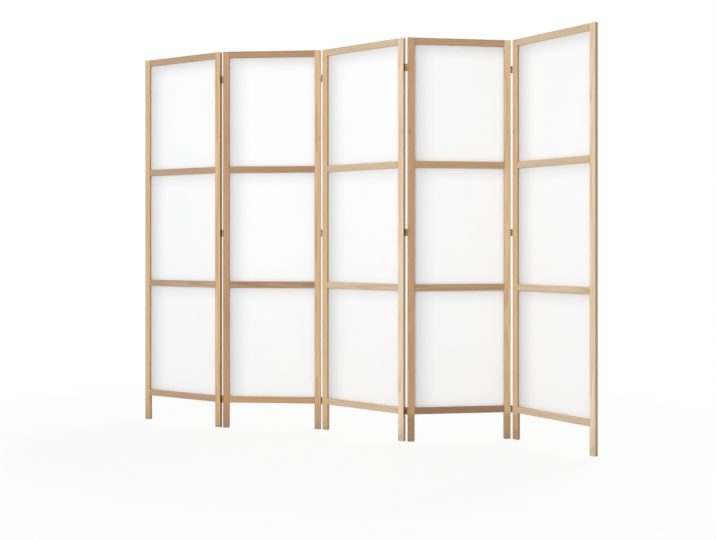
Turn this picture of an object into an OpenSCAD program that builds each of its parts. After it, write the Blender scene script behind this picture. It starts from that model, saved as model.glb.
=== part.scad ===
// Five-panel folding room screen: softwood frames, white sheets and two-way hinges.
// Millimetres. The origin is on the floor, under the middle of the standing screen's box.
// +X runs along the screen from panel 1 to panel 5, +Y points to its back and +Z up.

/* [Frame] */
// Height of the screen, from the floor to its top edge
screen_h = 1720; // [1400:5:2000]
// Width of one panel, over its two stiles
panel_w = 450; // [350:5:600]
// Thickness of the frame wood, from its front face to its back face
frame_t = 18; // [16:0.5:24]
// Face width of a stile
stile_w = 28; // [27:0.5:45]
// Face height of a rail
rail_h = 28; // [26:0.5:50]
// Height of the legs below the bottom rail
leg_h = 115; // [70:5:180]
// Number of panes, one above another, in a panel
panes = 3; // [2:1:4]
// Eased corner along the wooden edges
arris = 1; // [0.5:0.1:1.5]

/* [Sheet] */
// Depth of the rebate that the sheet lies in, cut from the back face
rebate_d = 6; // [4:0.5:8]
// Width of the rebate, which is also the width of the beads that fill it
rebate_w = 8; // [6:0.5:12]
// Thickness of the white sheet
sheet_t = 0.5; // [0.3:0.1:1.5]
// Play between the sheet's edge and the wall of the rebate
sheet_play = 0.5; // [0.2:0.1:1.5]
// Bevel on the beads' inner back edge
bead_bevel = 2; // [1:0.5:3]
// Open joint at each end of the beads along the rails
bead_joint = 0.2; // [0.1:0.1:0.5]

/* [Dowels] */
// Diameter of the dowels between rails and stiles
dowel_d = 6; // [5:0.5:7]
// Length of a dowel
dowel_len = 28; // [20:1:30]
// Distance between the two dowels at a rail's end
dowel_pitch = 14; // [10:1:16]
// Glue line all round a dowel, and past each of its ends
glue_line = 0.05; // [0.02:0.01:0.1]

/* [Hinges] */
// Height of one hinge
hinge_h = 30; // [26:1:40]
// Distance from the top edge down to the middle of the upper hinges
upper_hinge_drop = 126; // [80:2:200]
// Height of the middle hinges above the floor
middle_hinge_z = 890; // [700:10:1000]
// Thickness of a hinge leaf
leaf_t = 1.2; // [0.9:0.1:1.4]
// Diameter of a hinge pin
pin_d = 2.4; // [2:0.1:3]
// Running clearance round a hinge pin
pin_play = 0.05; // [0.02:0.01:0.08]
// Wall of the barrel round the pin
barrel_wall = 1; // [0.8:0.1:1.4]
// Gap between neighbouring knuckles
knuckle_gap = 0.3; // [0.2:0.05:0.5]
// How far the pins' axes stand out from the faces of the frame
pin_offset = 0.3; // [0.2:0.05:0.8]
// Distance from the plate's free edge to the face of the frame
leaf_inset = 1.5; // [1:0.25:3]
// Height of a pin's head
pin_head_h = 1; // [0.6:0.1:1.5]

/* [Screws] */
// Length of a screw, over its head
screw_len = 12; // [9:0.5:13]
// Diameter of a screw's shank
screw_d = 2.8; // [2.4:0.1:3.2]
// Diameter of a screw's countersunk head
screw_head_d = 5; // [4.4:0.1:5.6]
// Distance between the two screws of a leaf
screw_pitch = 16; // [13:1:18]
// Clearance round a screw in its holes
screw_play = 0.05; // [0.02:0.01:0.1]
// Length of a screw's point
screw_tip = 3; // [2:0.5:4]
// Width of the slots across a screw's head
slot_w = 0.6; // [0.4:0.1:0.8]
// Depth of the slots across a screw's head
slot_d = 0.5; // [0.3:0.1:0.7]

/* [Standing pose] */
// Bend from panel 1 to panel 2, towards the back
bend_12 = 25; // [5:1:80]
// Bend from panel 2 to panel 3, towards the front
bend_23 = 33; // [5:1:80]
// Bend from panel 3 to panel 4, towards the back
bend_34 = 46; // [5:1:80]
// Bend from panel 4 to panel 5, towards the front
bend_45 = 61; // [5:1:80]

/* [Hidden] */
$fn = 40;
panels = 5;
panel_ids = [1:panels];
joint_ids = [1:panels - 1];

// Opening of each joint's back pins and front pins in the standing pose
back_bend = [bend_12, 0, bend_34, 0];
front_bend = [0, bend_23, 0, bend_45];

// Rails and sheet
pane_h = (screen_h - leg_h - (panes + 1) * rail_h) / panes;
rail_len = panel_w - 2 * stile_w;
seat_y = frame_t / 2 - rebate_d;
rebate_bottom = leg_h + rail_h - rebate_w;
rebate_top = screen_h - rail_h + rebate_w;
dowel_y = -rebate_d / 2;

// Hinges
pin_r = pin_d / 2;
barrel_r = pin_r + pin_play + barrel_wall;
hinge_gap = 4 * barrel_r - leaf_t;
pin_y = frame_t / 2 + pin_offset;
pin_shift = hinge_gap - 2 * barrel_r;
knuckle_h = (hinge_h - 2 * knuckle_gap) / 3;
knuckle_step = knuckle_h + knuckle_gap;
plate_end = barrel_r + knuckle_gap;
hinge_floors = [for (z = [leg_h + rail_h / 2, middle_hinge_z, screen_h - upper_hinge_drop]) z - hinge_h / 2];
screw_in_wood = screw_len - leaf_t;

// Cuts pass this far beyond the faces that they open
past = 1;

stile_colour = [0.83, 0.70, 0.54];
rail_colour = [0.77, 0.62, 0.45];
bead_colour = [0.86, 0.75, 0.60];
sheet_colour = [0.97, 0.97, 0.96];
dowel_colour = [0.80, 0.66, 0.48];
brass_colour = [0.60, 0.51, 0.38];

// Lower edge of rail i, counted up from the bottom rail, 0
function rail_z(i) = leg_h + i * (rail_h + pane_h);

// Unit vectors along a heading, and square to it towards the back
function along(a) = [cos(a), sin(a)];
function behind(a) = [-sin(a), cos(a)];

// Plan of a bar w long and t thick, with eased corners; x starts at 0, y is centred
function eased(w, t) = [
    [arris, -t / 2], [w - arris, -t / 2], [w, arris - t / 2], [w, t / 2 - arris],
    [w - arris, t / 2], [arris, t / 2], [0, t / 2 - arris], [0, arris - t / 2]
];

// The chain of panels and middle leaves, laid out from panel 1 along +X.
// Joint j follows panel j: its back pins are beside panel j, its front pins beside panel j + 1.
function heading(k) = k == 1 ? 0 : leaf_heading(k - 1) - front_bend[k - 2];
function leaf_heading(j) = heading(j) + back_bend[j - 1];
function start(k) = k == 1 ? [0, 0] : front_pin(k - 1) + ahead(heading(k), barrel_r, pin_y);
function back_pin(j) = start(j) + ahead(heading(j), panel_w + barrel_r, pin_y);
function front_pin(j) = back_pin(j) + ahead(leaf_heading(j), pin_shift, -2 * pin_y);
function ahead(a, x, y) = x * along(a) + y * behind(a);

// The chain is then turned, so that the line between its two ends lies along +X, and centred.
far_end = start(panels) + ahead(heading(panels), panel_w, 0);
screen_turn = -atan2(far_end.y, far_end.x);
function turned(p) = ahead(screen_turn, p.x, p.y);
corners = [
    for (k = panel_ids) for (p = eased(panel_w, frame_t)) turned(start(k) + ahead(heading(k), p.x, p.y))
];
barrels = [
    for (j = joint_ids) for (p = [back_pin(j), front_pin(j)]) for (s = [-1, 1]) turned(p) + [s, s] * barrel_r
];
reach_x = [for (p = concat(corners, barrels)) p.x];
reach_y = [for (p = concat(corners, barrels)) p.y];
centre = [min(reach_x) + max(reach_x), min(reach_y) + max(reach_y)] / 2;

// Places: a panel's frame has x along the panel from its left edge and y from its centre plane
// to its back. A middle leaf's frame has its origin on the back pins' axis.
module in_plan(p, a) {
    translate([-centre.x, -centre.y, 0]) rotate(screen_turn) translate([p.x, p.y, 0]) rotate(a) children();
}

module in_panel(k) {
    in_plan(start(k), heading(k)) children();
}

module in_middle_leaf(j) {
    in_plan(back_pin(j), leaf_heading(j)) children();
}

// Puts the children on each hinged edge of panel k, with x pointing away from the wood.
module on_hinged_edges(k) {
    in_panel(k) {
        if (k < panels) translate([panel_w, 0, 0]) children();
        if (k > 1) rotate(180) children();
    }
}

module at_hinges() {
    for (z = hinge_floors) translate([0, 0, z]) children();
}

module at_screws() {
    for (s = [-1, 1])
        translate([0, 0, hinge_h / 2 + s * screw_pitch / 2]) rotate([0, -90, 0]) children();
}

// The two dowels' axes at the end of a rail, along +X
module at_dowels(z) {
    for (s = [-1, 1])
        translate([0, dowel_y, z + rail_h / 2 + s * dowel_pitch / 2]) rotate([0, 90, 0]) children();
}

module dowel_hole() {
    deep = dowel_len / 2 + glue_line;
    translate([0, 0, -deep]) cylinder(h = 2 * deep, d = dowel_d + 2 * glue_line);
}

// A stile with its outer edge on x = 0
module stile(hinged) {
    color(stile_colour) difference() {
        linear_extrude(screen_h) polygon(eased(stile_w, frame_t));
        translate([stile_w - rebate_w, seat_y, rebate_bottom])
            cube([rebate_w + past, rebate_d + past, rebate_top - rebate_bottom]);
        for (i = [0:panes]) translate([stile_w, 0, 0]) at_dowels(rail_z(i)) dowel_hole();
        if (hinged) rotate(180) at_hinges() at_screws() screw_profile(screw_play);
    }
}

module left_stile(k) {
    in_panel(k) stile(k > 1);
}

module right_stile(k) {
    in_panel(k) translate([panel_w, 0, 0]) mirror([1, 0, 0]) stile(k < panels);
}

// A rail of thickness t from the front face, with its lower edge at z, in a panel's frame
module rail_bar(z, t) {
    difference() {
        translate([stile_w, t / 2 - frame_t / 2, z + rail_h]) rotate([0, 90, 0])
            linear_extrude(rail_len) polygon(eased(rail_h, t));
        for (x = [stile_w, panel_w - stile_w]) translate([x, 0, 0]) at_dowels(z) dowel_hole();
    }
}

// A rail of the frame's full thickness, with the rebate along the edge that starts at rebate_z
module rebated_rail(z, rebate_z) {
    color(rail_colour) difference() {
        rail_bar(z, frame_t);
        translate([stile_w - past, seat_y, rebate_z]) cube([rail_len + 2 * past, rebate_d + past, rebate_w]);
    }
}

module top_rail(k) {
    in_panel(k) rebated_rail(rail_z(panes), rebate_top - rebate_w);
}

module bottom_rail(k) {
    in_panel(k) rebated_rail(rail_z(0), rebate_bottom);
}

// The middle rails are thinner, because the sheet passes behind them.
module middle_rails(k) {
    color(rail_colour) in_panel(k) for (i = [1:panes - 1]) rail_bar(rail_z(i), frame_t - rebate_d);
}

module sheet(k) {
    edge = stile_w - rebate_w + sheet_play;
    color(sheet_colour) in_panel(k) translate([edge, seat_y, rebate_bottom + sheet_play])
        cube([panel_w - 2 * edge, sheet_t, rebate_top - rebate_bottom - 2 * sheet_play]);
}

// A bead along +Z, with its outer wall on x = 0 and its bevel on the inner back edge
module bead(length) {
    t = rebate_d - sheet_t;
    linear_extrude(length)
        polygon([[0, 0], [rebate_w, 0], [rebate_w, t - bead_bevel], [rebate_w - bead_bevel, t], [0, t]]);
}

module beads(k) {
    side = stile_w - rebate_w;
    upright = rebate_top - rebate_bottom;
    level = rail_len - 2 * bead_joint;
    color(bead_colour) in_panel(k) translate([0, seat_y + sheet_t, 0]) {
        translate([side, 0, rebate_bottom]) bead(upright);
        translate([panel_w - side, 0, rebate_bottom]) mirror([1, 0, 0]) bead(upright);
        translate([stile_w + bead_joint, 0, rebate_top]) rotate([0, 90, 0]) bead(level);
        translate([stile_w + bead_joint, 0, rebate_bottom]) mirror([0, 0, 1]) rotate([0, 90, 0]) bead(level);
    }
}

module dowels(k) {
    color(dowel_colour) in_panel(k) for (x = [stile_w, panel_w - stile_w], i = [0:panes])
        translate([x, 0, 0]) at_dowels(rail_z(i)) translate([0, 0, -dowel_len / 2])
            cylinder(h = dowel_len, d = dowel_d);
}

// Knuckle n of a hinge, counted up from 0, on the axis x = y = 0, with a tongue that joins it
// to a plate. The tongue lies against the barrel's side at x = side, and runs along y.
module knuckle(n, side, toward) {
    translate([0, 0, n * knuckle_step]) {
        cylinder(h = knuckle_h, r = barrel_r);
        translate([side, toward < 0 ? -plate_end : 0, 0]) cube([leaf_t, plate_end, knuckle_h]);
    }
}

module pin_bore() {
    translate([0, 0, -past]) cylinder(h = hinge_h + 2 * past, r = pin_r + pin_play);
}

// A leaf screwed to a stile's edge, on x = 0, with its knuckle at the back
module edge_leaf() {
    difference() {
        union() {
            translate([0, leaf_inset - frame_t / 2, 0])
                cube([leaf_t, frame_t / 2 - leaf_inset + pin_y - plate_end, hinge_h]);
            translate([barrel_r, pin_y, 0]) knuckle(1, -barrel_r, -1);
        }
        translate([barrel_r, pin_y, 0]) pin_bore();
        at_screws() screw_profile(screw_play);
    }
}

module hinge_leaves(k) {
    color(brass_colour) on_hinged_edges(k) at_hinges() edge_leaf();
}

// The leaf between two edge leaves: its plate touches both barrels from inside.
module middle_leaf() {
    difference() {
        union() {
            translate([barrel_r - leaf_t, plate_end - 2 * pin_y, 0])
                cube([leaf_t, 2 * pin_y - 2 * plate_end, hinge_h]);
            for (n = [0, 2]) {
                knuckle(n, barrel_r - leaf_t, -1);
                translate([pin_shift, -2 * pin_y, 0]) knuckle(n, -barrel_r, 1);
            }
        }
        pin_bore();
        translate([pin_shift, -2 * pin_y, 0]) pin_bore();
    }
}

module middle_leaves(j) {
    color(brass_colour) in_middle_leaf(j) at_hinges() middle_leaf();
}

// A pin with a domed head on each end, seated on the outer knuckles
module pin() {
    dome = pin_head_h / 2;
    rotate_extrude() polygon([
        [0, -pin_head_h], [barrel_r - dome, -pin_head_h], [barrel_r, -dome], [barrel_r, 0],
        [pin_r, 0], [pin_r, hinge_h],
        [barrel_r, hinge_h], [barrel_r, hinge_h + dome], [barrel_r - dome, hinge_h + pin_head_h],
        [0, hinge_h + pin_head_h]
    ]);
}

module pins(j) {
    color(brass_colour) in_middle_leaf(j) at_hinges() {
        pin();
        translate([pin_shift, -2 * pin_y, 0]) pin();
    }
}

// A countersunk screw, or its hole with some play, along +Z into wood that starts at z = 0
module screw_profile(play) {
    deep = screw_in_wood + (play > 0 ? play : 0);
    head_r = screw_head_d / 2 + play;
    shank_r = screw_d / 2 + play;
    rotate_extrude() polygon([
        [0, -leaf_t], [head_r, -leaf_t], [shank_r, 0], [shank_r, deep - screw_tip], [0, deep]
    ]);
}

module screw() {
    difference() {
        screw_profile(0);
        for (a = [0, 90]) rotate(a) translate([-screw_head_d / 2, -slot_w / 2, -leaf_t - past])
            cube([screw_head_d, slot_w, slot_d + past]);
    }
}

module screws(k) {
    color(brass_colour) on_hinged_edges(k) at_hinges() at_screws() screw();
}

for (k = panel_ids) {
    left_stile(k);
    right_stile(k);
    top_rail(k);
    middle_rails(k);
    bottom_rail(k);
    sheet(k);
    beads(k);
    dowels(k);
    hinge_leaves(k);
    screws(k);
}
for (j = joint_ids) {
    middle_leaves(j);
    pins(j);
}
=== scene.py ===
"""Looks of the five-panel folding screen: pine frames, white cloth panes and aged brass hinges.

All lengths are metres in the row frame. A panel's own coordinates are u along the panel from its
left edge, v from its mid-plane towards its back, and z up.
"""

import math

import bpy
import numpy as np
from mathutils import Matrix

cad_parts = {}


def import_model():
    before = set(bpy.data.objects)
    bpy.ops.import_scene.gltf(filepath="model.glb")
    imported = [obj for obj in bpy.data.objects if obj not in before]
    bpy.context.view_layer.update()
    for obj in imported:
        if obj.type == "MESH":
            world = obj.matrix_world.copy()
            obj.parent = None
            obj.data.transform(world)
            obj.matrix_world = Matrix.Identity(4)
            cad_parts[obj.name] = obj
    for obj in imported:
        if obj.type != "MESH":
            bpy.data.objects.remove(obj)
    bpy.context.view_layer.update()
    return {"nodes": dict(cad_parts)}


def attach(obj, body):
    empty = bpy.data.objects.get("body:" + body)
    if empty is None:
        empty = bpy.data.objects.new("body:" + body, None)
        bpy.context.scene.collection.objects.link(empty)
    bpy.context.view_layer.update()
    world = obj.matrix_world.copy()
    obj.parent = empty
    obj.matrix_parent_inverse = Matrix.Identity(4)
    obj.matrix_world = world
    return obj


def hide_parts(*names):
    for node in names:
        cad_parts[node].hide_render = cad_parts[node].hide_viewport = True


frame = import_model()

# Left end of each panel's centre line in plan, and the panel's heading in degrees
PANELS = {
    1: (-1.07118, -0.08508, -6.53709),
    2: (-0.61260, -0.13439, 18.46291),
    3: (-0.17304, 0.00949, -14.53709),
    4: (0.27666, -0.10006, 31.46291),
    5: (0.67663, 0.13676, -29.53709),
}
PANEL_W, STILE_W, RAIL_H, FRAME_T = 0.450, 0.028, 0.028, 0.018
SCREEN_H, LEG_H = 1.720, 0.115
PANE_H = (SCREEN_H - LEG_H - 4 * RAIL_H) / 3
PANE_STEP = RAIL_H + PANE_H  # from one rail or pane to the next
# Width of the rebate, the seat of the sheet behind the mid-plane, and the CAD sheet's thickness
REBATE_W, SEAT_V, SHEET_T = 0.008, 0.003, 0.0005


# ---------------------------------------------------------------- helpers

def linear(code):
    """An sRGB hex colour as linear RGBA."""
    parts = [int(code[i:i + 2], 16) / 255 for i in (0, 2, 4)]
    return [c / 12.92 if c <= 0.04045 else ((c + 0.055) / 1.055) ** 2.4 for c in parts] + [1.0]


def fill(tree, node, inputs):
    """Gives each socket of a node, by name or number, its value or the socket to link to it."""
    for name, value in inputs.items():
        if isinstance(value, bpy.types.NodeSocket):
            tree.links.new(value, node.inputs[name])
        else:
            node.inputs[name].default_value = value


def add(tree, kind, inputs=(), out=0, **settings):
    """Adds a shader node and gives back one of its outputs. inputs are for its sockets in their
    order, or a dictionary by name or number."""
    node = tree.nodes.new("ShaderNode" + kind)
    for name, value in settings.items():
        setattr(node, name, value)
    fill(tree, node, inputs if isinstance(inputs, dict) else dict(enumerate(inputs)))
    return node.outputs[out]


# Settings that many nodes share
TIMES = {"operation": "MULTIPLY"}
TIMES_PLUS = {"operation": "MULTIPLY_ADD"}
LESS = {"operation": "SUBTRACT"}
UNSIGNED = {"operation": "ABSOLUTE"}
SMOOTH = {"interpolation_type": "SMOOTHSTEP"}
WHITE = (1, 1, 1, 1)


def streaks(tree, coords, cells, seed, detail=2.0, out=0):
    """Stretched noise from 0 to 1. cells is their number per metre along each axis, so a cell is
    1000 / cells mm long there. Output 1 is three such noises in one, as a colour."""
    stretched = add(tree, "VectorMath", [coords, cells], **TIMES)
    return add(tree, "TexNoise", {"Vector": stretched, "W": seed, "Scale": 1.0, "Detail": detail},
               out, noise_dimensions="4D")


def coats(tree, base, layers):
    """The colour that coats leave over a base. Each (cover, depth, tone) takes it cover times
    depth of the way to its tone, where cover is a pattern from 0 to 1."""
    colour = linear(base)
    for cover, depth, tone in layers:
        share = add(tree, "Math", [cover, depth], **TIMES)
        colour = add(tree, "Mix", {0: share, 6: colour, 7: linear(tone)}, out=2, data_type="RGBA")
    return colour


def new_material(name):
    """A material with an empty Principled shader: (material, tree, shader)."""
    material = bpy.data.materials.new(name)
    material.use_nodes = True
    tree = material.node_tree
    return material, tree, tree.nodes["Principled BSDF"]


def panel_coords(tree, k, offset=(0.0, 0.0, 0.0)):
    """Object coordinates turned into panel k's own (u, v, z), less an offset."""
    x, y, heading = PANELS[k]
    a = math.radians(heading)
    shift = (
        -(x * math.cos(a) + y * math.sin(a)) - offset[0],
        x * math.sin(a) - y * math.cos(a) - offset[1],
        -offset[2],
    )
    place = add(tree, "TexCoord", out="Object")
    return add(tree, "Mapping", {"Vector": place, "Location": shift, "Rotation": (0, 0, -a)})


def panel_normal(tree, k):
    """The direction that the surface faces, as its parts along panel k's own u, v and z."""
    turn = (0, 0, -math.radians(PANELS[k][2]))
    normal = add(tree, "TexCoord", out="Normal")
    turned = add(tree, "Mapping", {"Vector": normal, "Rotation": turn}, vector_type="NORMAL")
    return add(tree, "SeparateXYZ", [turned]).node.outputs


def in_panel(k, points):
    """Points (u, v, z) of panel k in the row frame: turned by its heading and moved to its end."""
    x, y, heading = PANELS[k]
    a = math.radians(heading)
    u, v, z = np.moveaxis(np.asarray(points, float), -1, 0)
    along = x + u * math.cos(a) - v * math.sin(a)
    back = y + u * math.sin(a) + v * math.cos(a)
    return np.stack([along, back, z], -1)


def make_piece(name, points, faces, material, smooth=True):
    """A mesh object at the origin, from its points and faces."""
    mesh = bpy.data.meshes.new(name)
    mesh.from_pydata(np.asarray(points).tolist(), [], faces)
    mesh.polygons.foreach_set("use_smooth", np.full(len(mesh.polygons), smooth))
    mesh.materials.append(material)
    mesh.validate()
    mesh.update()
    piece = bpy.data.objects.new(name, mesh)
    bpy.context.scene.collection.objects.link(piece)
    return piece


def dress(node, material):
    """Gives a CAD node a new material in its own slots."""
    thing = frame["nodes"][node]
    if not thing.material_slots:
        thing.data.materials.append(material)
    for slot in thing.material_slots:
        slot.material = material


# ---------------------------------------------------------------- materials

# Tones of the boards, as (earlywood, latewood), from the palest to the darkest
PALE = ("ECD8BB", "CFAD84")
SAND = ("D9C2A4", "B89D7A")
HONEY = ("DEC199", "BC9466")
GINGER = ("D8B78E", "B58B5E")
AMBER = ("C8A078", "A2774C")
TAWNY = ("C49A70", "9E7248")
FAWN = ("C7A88A", "9E7D5E")
UMBER = ("BD9B77", "93704D")
DUSK = ("B28F69", "88643F")
# The darkest tone, used only as painted shade on panel 4's bottom rail
SHADED_BARK = ("9F7F62", "745539")

RING_PITCH = 0.0034  # one year's growth
FIBRE_PITCH = 0.0008  # real fibres are 0.1 mm apart, too fine to show
# A quarter turn about a panel's v axis puts a level board's grain along the pattern's third axis
QUARTER_TURN = (0, -math.pi / 2, 0)


def board_look(tree, shader, coords, tones, seed, pith, knot=None, marks=()):
    """Sawn and lacquered pine. coords run (across the face, through it, along the grain).

    Growth rings lie round a pith line beside the board, r = |(a, t) - pith| + wander, at 3.4 mm
    pitch with a sharp dark latewood edge. They show as long flames on the faces and as arcs on
    the ends. Fibres are fine streaks along the grain, drawn 0.8 mm apart so that they hold at
    this size. A satin lacquer leaves a broad soft gloss. knot is (place across, place along,
    radius, depth), and marks are the coats that this board has over its own tones.
    """
    # The rings wander by up to 30 mm, in waves 110 mm across the grain and 770 mm along it
    drift = streaks(tree, coords, (9, 9, 1.3), seed, out=1)
    bent = add(tree, "VectorMath", [drift, (0.030, 0.022, 0), coords], **TIMES_PLUS)
    from_pith = add(tree, "VectorMath", [bent, (1, 1, 0), (-pith[0], -pith[1], 0)], **TIMES_PLUS)
    radius = add(tree, "VectorMath", [from_pith], out="Value", operation="LENGTH")
    if knot:
        # A knot is 1.6 times as long as it is wide. Its dark core has a soft edge, browner wood
        # lies round it out to 3.6 times its radius, and the rings swing out by up to 9 mm there
        across, along, size, depth = knot
        squash = 0.62
        centre = (-across, 0, -along * squash)
        away = add(tree, "VectorMath", [coords, (1, 0, squash), centre], **TIMES_PLUS)
        away = add(tree, "VectorMath", [away], out="Value", operation="LENGTH")
        core = add(tree, "MapRange", [away, size * 1.15, size * 0.8, 0.0, depth], **SMOOTH)
        halo = add(tree, "MapRange", [away, size * 3.6, size, 0.0, depth], **SMOOTH)
        radius = add(tree, "Math", [halo, 0.009, radius], **TIMES_PLUS)
        marks = [(halo, 0.35, "A87947"), (core, 0.55, "7A5534"), *marks]
    year = add(tree, "Math", [radius, RING_PITCH], operation="DIVIDE")
    late = add(tree, "ValToRGB", [add(tree, "Math", [year], operation="FRACT")])
    # Each ring darkens from 0.3 of its width to 0.9, and is pale again at its outer edge
    stops = late.node.color_ramp.elements
    stops[0].position, stops[1].position = 0.30, 0.90
    stops.new(1.0).color = (0.1, 0.1, 0.1, 1)
    # Fibres 62 mm long, clouds of darker wood 38 by 385 mm, and resin flecks 1.4 by 18 mm
    fibres = streaks(tree, coords, (1 / FIBRE_PITCH, 1 / FIBRE_PITCH, 16), seed + 3, 3.0)
    cloud = streaks(tree, coords, (26, 26, 2.6), seed + 7)
    flecks = streaks(tree, coords, (700, 700, 55), seed + 11)
    colour = coats(tree, tones[0], [
        (late, 0.62, tones[1]),
        (add(tree, "MapRange", [cloud, 0.35, 0.75], **SMOOTH), 0.30, tones[1]),
        (add(tree, "MapRange", [fibres, 0.40, 0.72], **SMOOTH), 0.26, tones[1]),
        (add(tree, "MapRange", [flecks, 0.66, 0.76], **SMOOTH), 0.35, "8A6440"),
        *marks,
    ])
    relief = add(tree, "Math", [late, 0.4, fibres], **TIMES_PLUS)
    fill(tree, shader, {
        "Base Color": colour,
        "Roughness": add(tree, "MapRange", [fibres, 0.3, 0.7, 0.48, 0.64], **SMOOTH),
        "Specular IOR Level": 0.38,
        "Coat Weight": 0.07,
        "Coat Roughness": 0.38,
        "Normal": add(tree, "Bump", {"Height": relief, "Strength": 0.35, "Distance": 0.0002}),
    })


def stile_wood(k, side, tones, side_shade_depth, leg_shade_depth, seed, knot):
    """Pine for an upright. Its narrow faces are darkened with painted shade, and its end grain
    drinks more lacquer and is darker. Its long arrises are rubbed pale. Below the bottom rail it is
    darkened with painted shade, and its foot has grey patches near the floor. Two of the arguments
    say how deep the two painted shades are on this board."""
    material, tree, shader = new_material(f"lacquered_pine_stile_{k}_{side}")
    middle = STILE_W / 2 if side == "left" else PANEL_W - STILE_W / 2
    coords = panel_coords(tree, k, (middle, 0, 0))
    across, through, along = add(tree, "SeparateXYZ", [coords]).node.outputs
    facing = panel_normal(tree, k)
    sideways = add(tree, "Math", [facing[0]], **UNSIGNED)
    upright = add(tree, "Math", [facing[2]], **UNSIGNED)
    # An arris lies within 1.6 mm of a narrow face and of a broad one
    to_arris = []
    for place, half in ((across, STILE_W / 2), (through, FRAME_T / 2)):
        off_centre = add(tree, "Math", [place], **UNSIGNED)
        reach = [off_centre, half - 0.0016, half - 0.0004]
        to_arris.append(add(tree, "MapRange", reach, **SMOOTH))
    # They are rubbed in places about 45 mm long
    rubs = streaks(tree, coords, (90, 90, 22), seed + 17)
    rubbed = add(tree, "Math", [
        add(tree, "Math", to_arris, **TIMES),
        add(tree, "MapRange", [rubs, 0.40, 0.62], **SMOOTH),
    ], **TIMES)
    # Grey patches 6 by 17 mm reach 75 mm up from the floor
    foot_patches = streaks(tree, coords, (160, 160, 60), seed + 19)
    foot_grey = add(tree, "Math", [
        add(tree, "MapRange", [along, 0.075, 0.0], **SMOOTH),
        add(tree, "MapRange", [foot_patches, 0.30, 0.70], **SMOOTH),
    ], **TIMES)
    # Painted shade goes on the narrow faces, which face sideways
    side_shade = add(tree, "MapRange", [sideways, 0.75, 0.95], **SMOOTH)
    marks = [
        # Two coats of painted shade on the narrow faces
        (side_shade, side_shade_depth, tones[1]),
        (side_shade, side_shade_depth * 0.4, "7D5C3B"),
        (rubbed, 0.6, "EFDFC4"),
        (add(tree, "MapRange", [upright, 0.80, 0.97], **SMOOTH), 0.5, "A77F56"),
        # Painted shade on the leg below the bottom rail, deeper on some boards
        (add(tree, "MapRange", [along, LEG_H + 0.015, LEG_H - 0.020], **SMOOTH), leg_shade_depth, "8A6A48"),
        (foot_grey, 0.55, "8C7A66"),
    ]
    pith = (0.011 if seed % 2 else -0.013, 0.038 + 0.004 * (seed % 3))
    board_look(tree, shader, coords, tones, seed, pith, knot, marks)
    return material


def rail_wood(k, place, height, tones, seed):
    """Pine for a level rail, whose grain runs along the rail. Its last 4 mm at each end are a
    little darker, where lacquer gathers against the stiles."""
    material, tree, shader = new_material(f"lacquered_pine_rail_{k}_{place}")
    level = panel_coords(tree, k, (0, 0, height))
    coords = add(tree, "Mapping", {"Vector": level, "Rotation": QUARTER_TURN})
    u = add(tree, "SeparateXYZ", [level])
    from_end = add(tree, "Math", [
        add(tree, "Math", [u, STILE_W], **LESS),
        add(tree, "Math", [PANEL_W - STILE_W, u], **LESS),
    ], operation="MINIMUM")
    gathered = add(tree, "MapRange", [from_end, 0.004, 0.0], **SMOOTH)
    pith = (0.012 if seed % 2 else -0.010, -0.034 - 0.003 * (seed % 4))
    board_look(tree, shader, coords, tones, seed, pith, marks=[(gathered, 0.35, "8F6B45")])
    return material


def bead_wood(k, tones, seed):
    """Pine beads, cut from one thin moulding: the pith is half a metre off, so the grain runs
    straight along each bead with hardly any flame."""
    material, tree, shader = new_material(f"lacquered_pine_bead_{k}")
    coords = panel_coords(tree, k)
    turned = add(tree, "Mapping", {"Vector": coords, "Rotation": QUARTER_TURN})
    # The two level beads lie between the upright ones
    off_centre = add(tree, "Math", [add(tree, "SeparateXYZ", [coords]), PANEL_W / 2], **LESS)
    off_centre = add(tree, "Math", [off_centre], **UNSIGNED)
    within = PANEL_W / 2 - STILE_W - 0.0001
    level = add(tree, "Math", [off_centre, within], operation="LESS_THAN")
    grain = add(tree, "Mix", {0: level, 4: coords, 5: turned}, out=1, data_type="VECTOR")
    board_look(tree, shader, grain, tones, seed, (0.5, 0.12))
    return material


def dowel_wood():
    """Turned beech dowels, inside the joints: pale pink, with dark flecks 5.5 by 1.1 mm that lie
    along the grain."""
    material, tree, shader = new_material("turned_beech")
    rays = streaks(tree, add(tree, "TexCoord", out="Object"), (180, 180, 900), 5)
    flecks = add(tree, "MapRange", [rays, 0.55, 0.70], **SMOOTH)
    colour = coats(tree, "D9B48C", [(flecks, 1.0, "A9794F")])
    fill(tree, shader, {"Base Color": colour, "Roughness": 0.6})
    return material


def brass(name, tones, seed, rough):
    """Brass, pressed or turned and aged in a dark bath: a brown patina lies in clouds of 4 to
    5 mm over the yellow metal, and scratches 0.3 mm wide show it bright again and break up the
    gloss. tones are the thin patina, the thick patina and the scratches."""
    material, tree, shader = new_material(name)
    coords = add(tree, "TexCoord", out="Object")
    patina = streaks(tree, coords, (260, 260, 190), seed, 4.0)
    scratches = streaks(tree, coords, (900, 900, 3200), seed + 2)
    colour = coats(tree, tones[0], [
        (add(tree, "MapRange", [patina, 0.34, 0.66], **SMOOTH), 1.0, tones[1]),
        (add(tree, "MapRange", [scratches, 0.58, 0.80], **SMOOTH), 0.5, tones[2]),
    ])
    fill(tree, shader, {
        "Base Color": colour,
        "Metallic": 1.0,
        "Roughness": add(tree, "MapRange", [patina, 0.3, 0.7, rough, rough + 0.22], **SMOOTH),
        "Normal": add(tree, "Bump", {"Height": scratches, "Strength": 0.25, "Distance": 0.00005}),
    })
    return material


SHADE_LEFT, SHADE_TOP = 0.105, 0.070  # how far the shade reaches over a pane
# Heights over which the shade deepens for the top pane, hidden by the upper middle rail
DEEPER_FROM = (1.17, 1.19)


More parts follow.
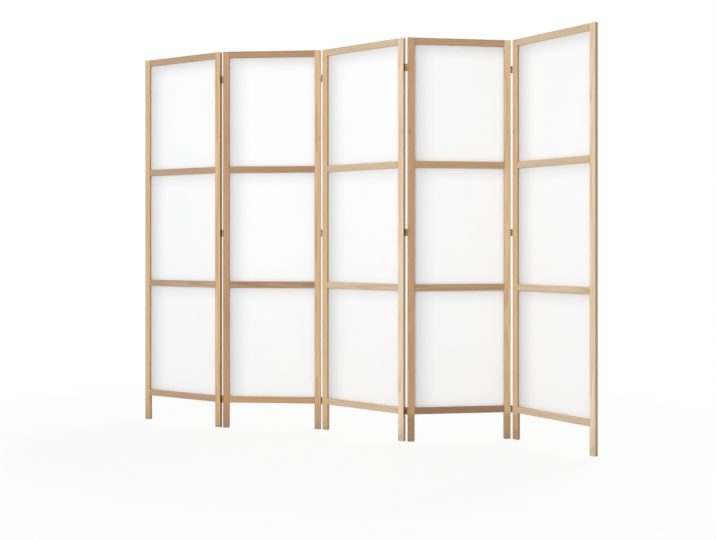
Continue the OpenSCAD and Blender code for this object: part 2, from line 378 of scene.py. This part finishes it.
def pane_painted_light(tree, k, coords):
    """Two kinds of painted light that the frame leaves on the cloth: (shade, band).

    shade is a painted shade, a soft grey along each pane's left and top edge, on the front only,
    as the photograph shows it. With l and a from 1 at the wood to 0 where it ends, it is
    1 - (1 - l ^ 1.7)(1 - a ^ 1.5 x depth), with the depth 0.80 in the top pane and 0.55 below.
    In the last centimetre before the wood both weaken to about half, because the recess makes
    shade enough there by itself. band is a painted show-through: it is 1 on the back where a
    middle rail lies behind the thin cloth and would show through it.
    """
    u, _, z = add(tree, "SeparateXYZ", [coords]).node.outputs
    # Every pane is one step above the last, so the distance below its top is the same remainder
    from_top = add(tree, "Math", [SCREEN_H - RAIL_H, z], **LESS)
    below = add(tree, "Math", [from_top, PANE_STEP], operation="FLOORED_MODULO")

    left = add(tree, "MapRange", [u, STILE_W + SHADE_LEFT, STILE_W])
    left = add(tree, "Math", [left, 1.7], operation="POWER")
    weaker = add(tree, "MapRange", [u, STILE_W, STILE_W + 0.012, 0.55], **SMOOTH)
    left = add(tree, "Math", [left, weaker], **TIMES)

    above = add(tree, "MapRange", [below, SHADE_TOP, 0.0])
    above = add(tree, "Math", [above, 1.5], operation="POWER")
    depth = add(tree, "MapRange", [z, *DEEPER_FROM, 0.55, 0.80], **SMOOTH)
    above = add(tree, "Math", [above, depth], **TIMES)
    weaker = add(tree, "MapRange", [below, 0.0, 0.010, 0.50], **SMOOTH)
    above = add(tree, "Math", [above, weaker], **TIMES)

    # Where the two meet, each lets through its own share of the light
    clear = add(tree, "Math", [
        add(tree, "Math", [1.0, left], **LESS),
        add(tree, "Math", [1.0, above], **LESS),
    ], **TIMES)
    both = add(tree, "Math", [1.0, clear], **LESS)

    # Painted show-through of a middle rail, on the back of the cloth
    from_rail = add(tree, "Math", [below, PANE_H + RAIL_H / 2], **LESS)
    from_rail = add(tree, "Math", [from_rail], **UNSIGNED)
    rail = add(tree, "MapRange", [from_rail, RAIL_H / 2 + 0.0015, RAIL_H / 2 - 0.0015], **SMOOTH)
    facing = panel_normal(tree, k)[1]
    on_front = add(tree, "MapRange", [facing, -0.2, -0.8], **SMOOTH)
    on_back = add(tree, "MapRange", [facing, 0.2, 0.8], **SMOOTH)
    return add(tree, "Math", [both, on_front], **TIMES), add(tree, "Math", [rail, on_back], **TIMES)


WEAVE_PITCH = 0.0015
WAVE_PERIOD = 0.314159  # pi / 10, over which a wave texture of scale 1 repeats


def cloth(k):
    """White plain-woven polyester, stretched in the frame. Warp and weft threads are 0.5 mm apart
    on real cloth and are drawn 1.5 mm apart, so that they hold at this size. Slubs 70 mm long
    thicken some weft threads, and clouds of 140 to 200 mm make the white a little uneven."""
    material, tree, shader = new_material(f"woven_polyester_{k}")
    coords = panel_coords(tree, k)
    threads = {"Vector": coords, "Scale": WAVE_PERIOD / WEAVE_PITCH}
    weave = add(tree, "Math", [
        add(tree, "TexWave", threads, out=1, bands_direction="X"),
        add(tree, "TexWave", threads, out=1, bands_direction="Z"),
    ], operation="MAXIMUM")
    slub = streaks(tree, coords, (14, 14, 420), 31 + k, 3.0)
    slub = add(tree, "MapRange", [slub, 0.60, 0.78], **SMOOTH)
    cloud = streaks(tree, coords, (7, 7, 5), 41 + k)
    painted_shade, painted_show_through = pane_painted_light(tree, k, coords)
    colour = coats(tree, "F2F3F4", [
        (weave, 0.95, "FDFDFD"),
        (slub, 0.35, "EEEFF0"),
        (add(tree, "MapRange", [cloud, 0.4, 0.7], **SMOOTH), 0.15, "F3F4F6"),
        # Painted shade along each pane's left and top edge, on the front
        (painted_shade, 1.0, "DADADB"),
        # Painted show-through of the middle rails, on the back
        (painted_show_through, 0.16, "D9C09A"),
    ])
    relief = add(tree, "Math", [slub, 0.6, weave], **TIMES_PLUS)
    fill(tree, shader, {
        "Base Color": colour,
        "Roughness": 0.88,
        "Sheen Weight": 0.08,
        "Specular IOR Level": 0.25,
        "Normal": add(tree, "Bump", {"Height": relief, "Strength": 0.25, "Distance": 0.00015}),
    })
    return material


# ---------------------------------------------------------------- frames and hinges

# Tones, depth of the painted shade on the narrow faces and depth of the painted shade on the leg,
# for each board
STILES = {
    (1, "left"): (HONEY, 0.65, 0.15),
    (1, "right"): (HONEY, 0.65, 0.08),
    (2, "left"): (TAWNY, 0.65, 0.25),
    (2, "right"): (GINGER, 0.65, 0.22),
    (3, "left"): (HONEY, 0.65, 0.05),
    (3, "right"): (PALE, 0.65, 0.03),
    (4, "left"): (AMBER, 0.65, 0.55),
    (4, "right"): (HONEY, 0.65, 0.42),
    (5, "left"): (HONEY, 0.65, 0.30),
    (5, "right"): (PALE, 0.95, 0.03),
}
# Pin knots, as the photograph shows them: (place across the board, height, radius, depth)
KNOTS = {
    (1, "right"): (0.001, 1.327, 0.0024, 0.80),
    (2, "left"): (-0.004, 1.326, 0.0026, 0.50),
    (2, "right"): (0.008, 1.321, 0.0024, 0.80),
    (3, "left"): (-0.006, 1.320, 0.0024, 0.40),
    (3, "right"): (0.008, 1.324, 0.0026, 0.45),
    (4, "left"): (-0.008, 1.319, 0.0030, 0.90),
    (4, "right"): (0.001, 1.327, 0.0034, 0.55),
    (5, "left"): (-0.007, 1.325, 0.0028, 0.85),
}
# Each panel's bottom rail, middle rails and top rail
RAILS = {
    1: (FAWN, FAWN, FAWN),
    2: (AMBER, DUSK, DUSK),
    3: (SAND, SAND, SAND),
    # Panel 4's bottom rail takes the darkest tone as painted shade
    4: (SHADED_BARK, UMBER, UMBER),
    5: (SAND, SAND, SAND),
}
RAIL_STEPS = {"bottom_rail": 0, "middle_rails": 1, "top_rail": 3}

for k in PANELS:
    for side in ("left", "right"):
        seed = 10 * k + (side == "right")
        wood = stile_wood(k, side, *STILES[k, side], seed, KNOTS.get((k, side)))
        dress(f"panel_{k}_{side}_stile", wood)
    for n, (node, steps) in enumerate(RAIL_STEPS.items()):
        height = LEG_H + RAIL_H / 2 + steps * PANE_STEP
        dress(f"panel_{k}_{node}", rail_wood(k, node, height, RAILS[k][n], 100 + 10 * k + n))
    dress(f"panel_{k}_beads", bead_wood(k, HONEY, 200 + k))

beech = dowel_wood()
aged = brass("aged_brass_hinge", ("BFA47F", "947B59", "DAC39B"), 3, 0.34)
turned = brass("aged_brass_pin", ("C0A67E", "977E5B", "DFCAA0"), 5, 0.28)
screw_metal = brass("aged_brass_screw", ("C9AD7C", "9D8259", "E6D2A4"), 7, 0.28)
for k in PANELS:
    dress(f"panel_{k}_dowels", beech)
    dress(f"panel_{k}_hinge_leaves", aged)
    dress(f"panel_{k}_screws", screw_metal)
for line in ("12", "23", "34", "45"):
    dress(f"hinge_{line}_middle_leaves", aged)
    dress(f"hinge_{line}_pins", turned)


# ---------------------------------------------------------------- sheets

CLOTH_T = 0.0004
SHEET_PLAY = 0.0005  # between the sheet's edge and the rebate's wall


def ripple(k, u, z, low, high, inner):
    """How far a stretched sheet stands off its plane, in metres.

    Each pane holds r = s(p) s(q) (0.28 sin(2 pi (u / 0.17 + z / 0.9 + k / 3)) +
    0.22 sin(2 pi (u / 0.41 - z / 0.31 + k / 5)) + the pull of each corner) mm, with p and q from
    0 to 1 over the pane and s(x) = sin(pi x) ^ 0.6. A corner pulls
    0.35 exp(-d / 0.05) cos(16 angle) mm at d metres from it. All is 0 over the rails and in the
    rebate.
    """
    p = np.clip((u - inner[0]) / (inner[1] - inner[0]), 0, 1)
    total = np.zeros_like(u)
    for bottom, top in zip(low, high):
        q = np.clip((z - bottom) / (top - bottom), 0, 1)
        window = (np.sin(math.pi * p) * np.sin(math.pi * q)).clip(0) ** 0.6
        waves = 0.28 * np.sin(2 * math.pi * (u / 0.17 + z / 0.9 + k / 3))
        waves += 0.22 * np.sin(2 * math.pi * (u / 0.41 - z / 0.31 + k / 5))
        for corner_u in inner:
            for corner_z in (bottom, top):
                away = np.hypot(u - corner_u, z - corner_z)
                angle = np.arctan2(np.abs(z - corner_z), np.abs(u - corner_u))
                waves += 0.35 * np.exp(-away / 0.05) * np.cos(16 * angle)
        total += window * waves / 1000
    return total


def sheet_piece(k, material):
    """A closed slab of cloth 0.4 mm thick, on a grid of about 8 mm. Its two faces lie at
    v = middle - t / 2 + ripple(u, z) and v = middle + t / 2 + ripple(u, z), and a strip of walls
    joins them round the rim."""
    edge = STILE_W - REBATE_W + SHEET_PLAY
    bottom = LEG_H + RAIL_H - REBATE_W + SHEET_PLAY
    top = SCREEN_H - RAIL_H + REBATE_W - SHEET_PLAY
    inner = (STILE_W, PANEL_W - STILE_W)
    lows = [LEG_H + RAIL_H + n * PANE_STEP for n in range(3)]
    highs = [low + PANE_H for low in lows]
    us = np.unique(np.concatenate([[edge, PANEL_W - edge], np.linspace(*inner, 51)]))
    rows = [[bottom, top]] + [np.linspace(low, high, 63) for low, high in zip(lows, highs)]
    zs = np.unique(np.round(np.concatenate(rows), 6))
    u, z = np.meshgrid(us, zs, indexing="ij")
    v = SEAT_V + SHEET_T / 2 + ripple(k, u, z, lows, highs, inner)
    sides = [np.stack([u, v + half, z], -1).reshape(-1, 3) for half in (-CLOTH_T / 2, CLOTH_T / 2)]

    number = np.arange(u.size).reshape(u.shape)
    corners = [number[:-1, :-1], number[1:, :-1], number[1:, 1:], number[:-1, 1:]]
    front = np.stack(corners, -1).reshape(-1, 4)
    rim = np.concatenate([number[:, 0], number[-1, 1:], number[-2::-1, -1], number[0, -2:0:-1]])
    after = np.roll(rim, -1)
    walls = np.stack([after, rim, rim + u.size, after + u.size], -1)
    faces = np.concatenate([front, front[:, ::-1] + u.size, walls])
    return make_piece(f"sheet_{k}", in_panel(k, np.concatenate(sides)), faces.tolist(), material)


BRAD_LINE = 0.0048  # how far the brads stand outside the frame's opening
# A brad's head, as (radius, height above the bead) up its neck and over its dome
BRAD_PROFILE = np.array([(0.0008, -0.0003), (0.0008, 0.0), (0.0006, 0.00008), (0.0003, 0.00012)])
BRAD_SIDES = 12


def brads(k, material):
    """The heads of the brads that hold the beads, sunk 0.3 mm into the beads' backs. Each is the
    profile turned about its own axis: (u + r cos t, back + h, z + r sin t), closed at both ends.
    There are 12 up each side bead and 3 along each level one."""
    line = STILE_W - BRAD_LINE
    bottom, top = LEG_H + RAIL_H - BRAD_LINE, SCREEN_H - RAIL_H + BRAD_LINE
    up = np.meshgrid((line, PANEL_W - line), np.linspace(bottom + 0.03, top - 0.03, 12))
    level = np.meshgrid((0.09, PANEL_W / 2, PANEL_W - 0.09), (bottom, top))
    u, z = (np.concatenate([a.ravel(), b.ravel()])[:, None, None] for a, b in zip(up, level))

    turn = np.arange(BRAD_SIDES) * 2 * math.pi / BRAD_SIDES
    radius, height = BRAD_PROFILE.T[:, :, None]
    rings = [u + radius * np.cos(turn), FRAME_T / 2 + height, z + radius * np.sin(turn)]
    points = np.stack(np.broadcast_arrays(*rings), -1).reshape(-1, 3)

    number = np.arange(len(points)).reshape(len(u), len(BRAD_PROFILE), BRAD_SIDES)
    after = np.roll(number, -1, axis=2)
    corners = [number[:, :-1], number[:, 1:], after[:, 1:], after[:, :-1]]
    faces = np.stack(corners, -1).reshape(-1, 4).tolist()
    faces += number[:, 0].tolist() + number[:, -1, ::-1].tolist()
    return make_piece(f"brads_{k}", in_panel(k, points), faces, material, smooth=False)


for k in PANELS:
    sheet = sheet_piece(k, cloth(k))
    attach(sheet, f"panel_{k}")
    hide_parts(f"panel_{k}_sheet")
    heads = brads(k, screw_metal)
    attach(heads, f"panel_{k}")


# ---------------------------------------------------------------- floor, light and camera

FLOOR_REACH = 30.0
PLAIN_NEAR = 0.84  # how much of the floor's look is plain white within 1.2 m of the middle
WORLD_LEVEL = 0.565  # how much the world lights the object


def floor():
    """A white studio floor. The camera sees it as mostly plain white, with part of the object's
    shadow. From 1.2 to 2.4 m away it turns to plain white, so that no horizon shows."""
    material, tree, shader = new_material("white_studio_floor")
    fill(tree, shader, {"Base Color": linear("FAFAFA"), "Roughness": 0.9})
    white = add(tree, "Emission", {"Color": WHITE, "Strength": 1.0})
    place = add(tree, "TexCoord", out="Object")
    away = add(tree, "VectorMath", [place], out="Value", operation="LENGTH")
    plain = add(tree, "MapRange", [away, 1.2, 2.4, PLAIN_NEAR, 1.0], **SMOOTH)
    seen = add(tree, "LightPath", out="Is Camera Ray")
    share = add(tree, "Math", [seen, plain], **TIMES)
    surface = add(tree, "MixShader", [share, shader.outputs[0], white])
    fill(tree, tree.nodes["Material Output"], {"Surface": surface})
    corners = [(-1, -1), (1, -1), (1, 1), (-1, 1)]
    ground = [(x * FLOOR_REACH, y * FLOOR_REACH, 0) for x, y in corners]
    plane = make_piece("floor", ground, [(0, 1, 2, 3)], material, smooth=False)


def world():
    """Even light from all round, seen as plain white by the camera and in reflections."""
    studio = bpy.data.worlds.new("studio")
    bpy.context.scene.world = studio
    studio.use_nodes = True
    tree = studio.node_tree
    path = add(tree, "LightPath").node.outputs
    seen = path["Is Camera Ray"]
    for ray in ("Is Glossy Ray", "Is Transmission Ray"):
        seen = add(tree, "Math", [seen, path[ray]], operation="MAXIMUM")
    level = add(tree, "MapRange", [seen, 0.0, 1.0, WORLD_LEVEL, 1.0])
    fill(tree, tree.nodes["Background"], {"Color": WHITE, "Strength": level})


def softbox(name, azimuth, elevation, distance, size, watts):
    """A square lamp that looks at the middle of the screen. Azimuth 0 stands in front, on -Y, and
    turns towards +X."""
    a, e = math.radians(azimuth), math.radians(elevation)
    lamp = bpy.data.lights.new(name, "AREA")
    lamp.shape, lamp.size, lamp.energy = "SQUARE", size, watts
    holder = bpy.data.objects.new(name, lamp)
    holder.location = (
        distance * math.sin(a) * math.cos(e),
        -distance * math.cos(a) * math.cos(e),
        SCREEN_H / 2 + distance * math.sin(e),
    )
    holder.rotation_euler = (math.pi / 2 - e, 0, a)
    bpy.context.scene.collection.objects.link(holder)


def camera():
    """The photograph's viewpoint, solved from the stiles' and rails' ends in it: level, 0.85 m
    above the floor and 4.45 m from the middle of the screen."""
    lens = bpy.data.cameras.new("camera")
    lens.sensor_width, lens.lens, lens.shift_y = 36.0, 50.115, -0.03874
    lens.clip_end = 100
    eye = bpy.data.objects.new("camera", lens)
    eye.location = (1.7738, -4.0809, 0.8481)
    eye.rotation_euler = (math.pi / 2, 0, math.radians(23.472))
    bpy.context.scene.collection.objects.link(eye)
    bpy.context.scene.camera = eye


floor()
world()
softbox("key", azimuth=3, elevation=14, distance=6.5, size=2.4, watts=156)
softbox("back", azimuth=168, elevation=40, distance=5.0, size=3.0, watts=95)
camera()
bpy.context.scene.view_settings.view_transform = "Standard"
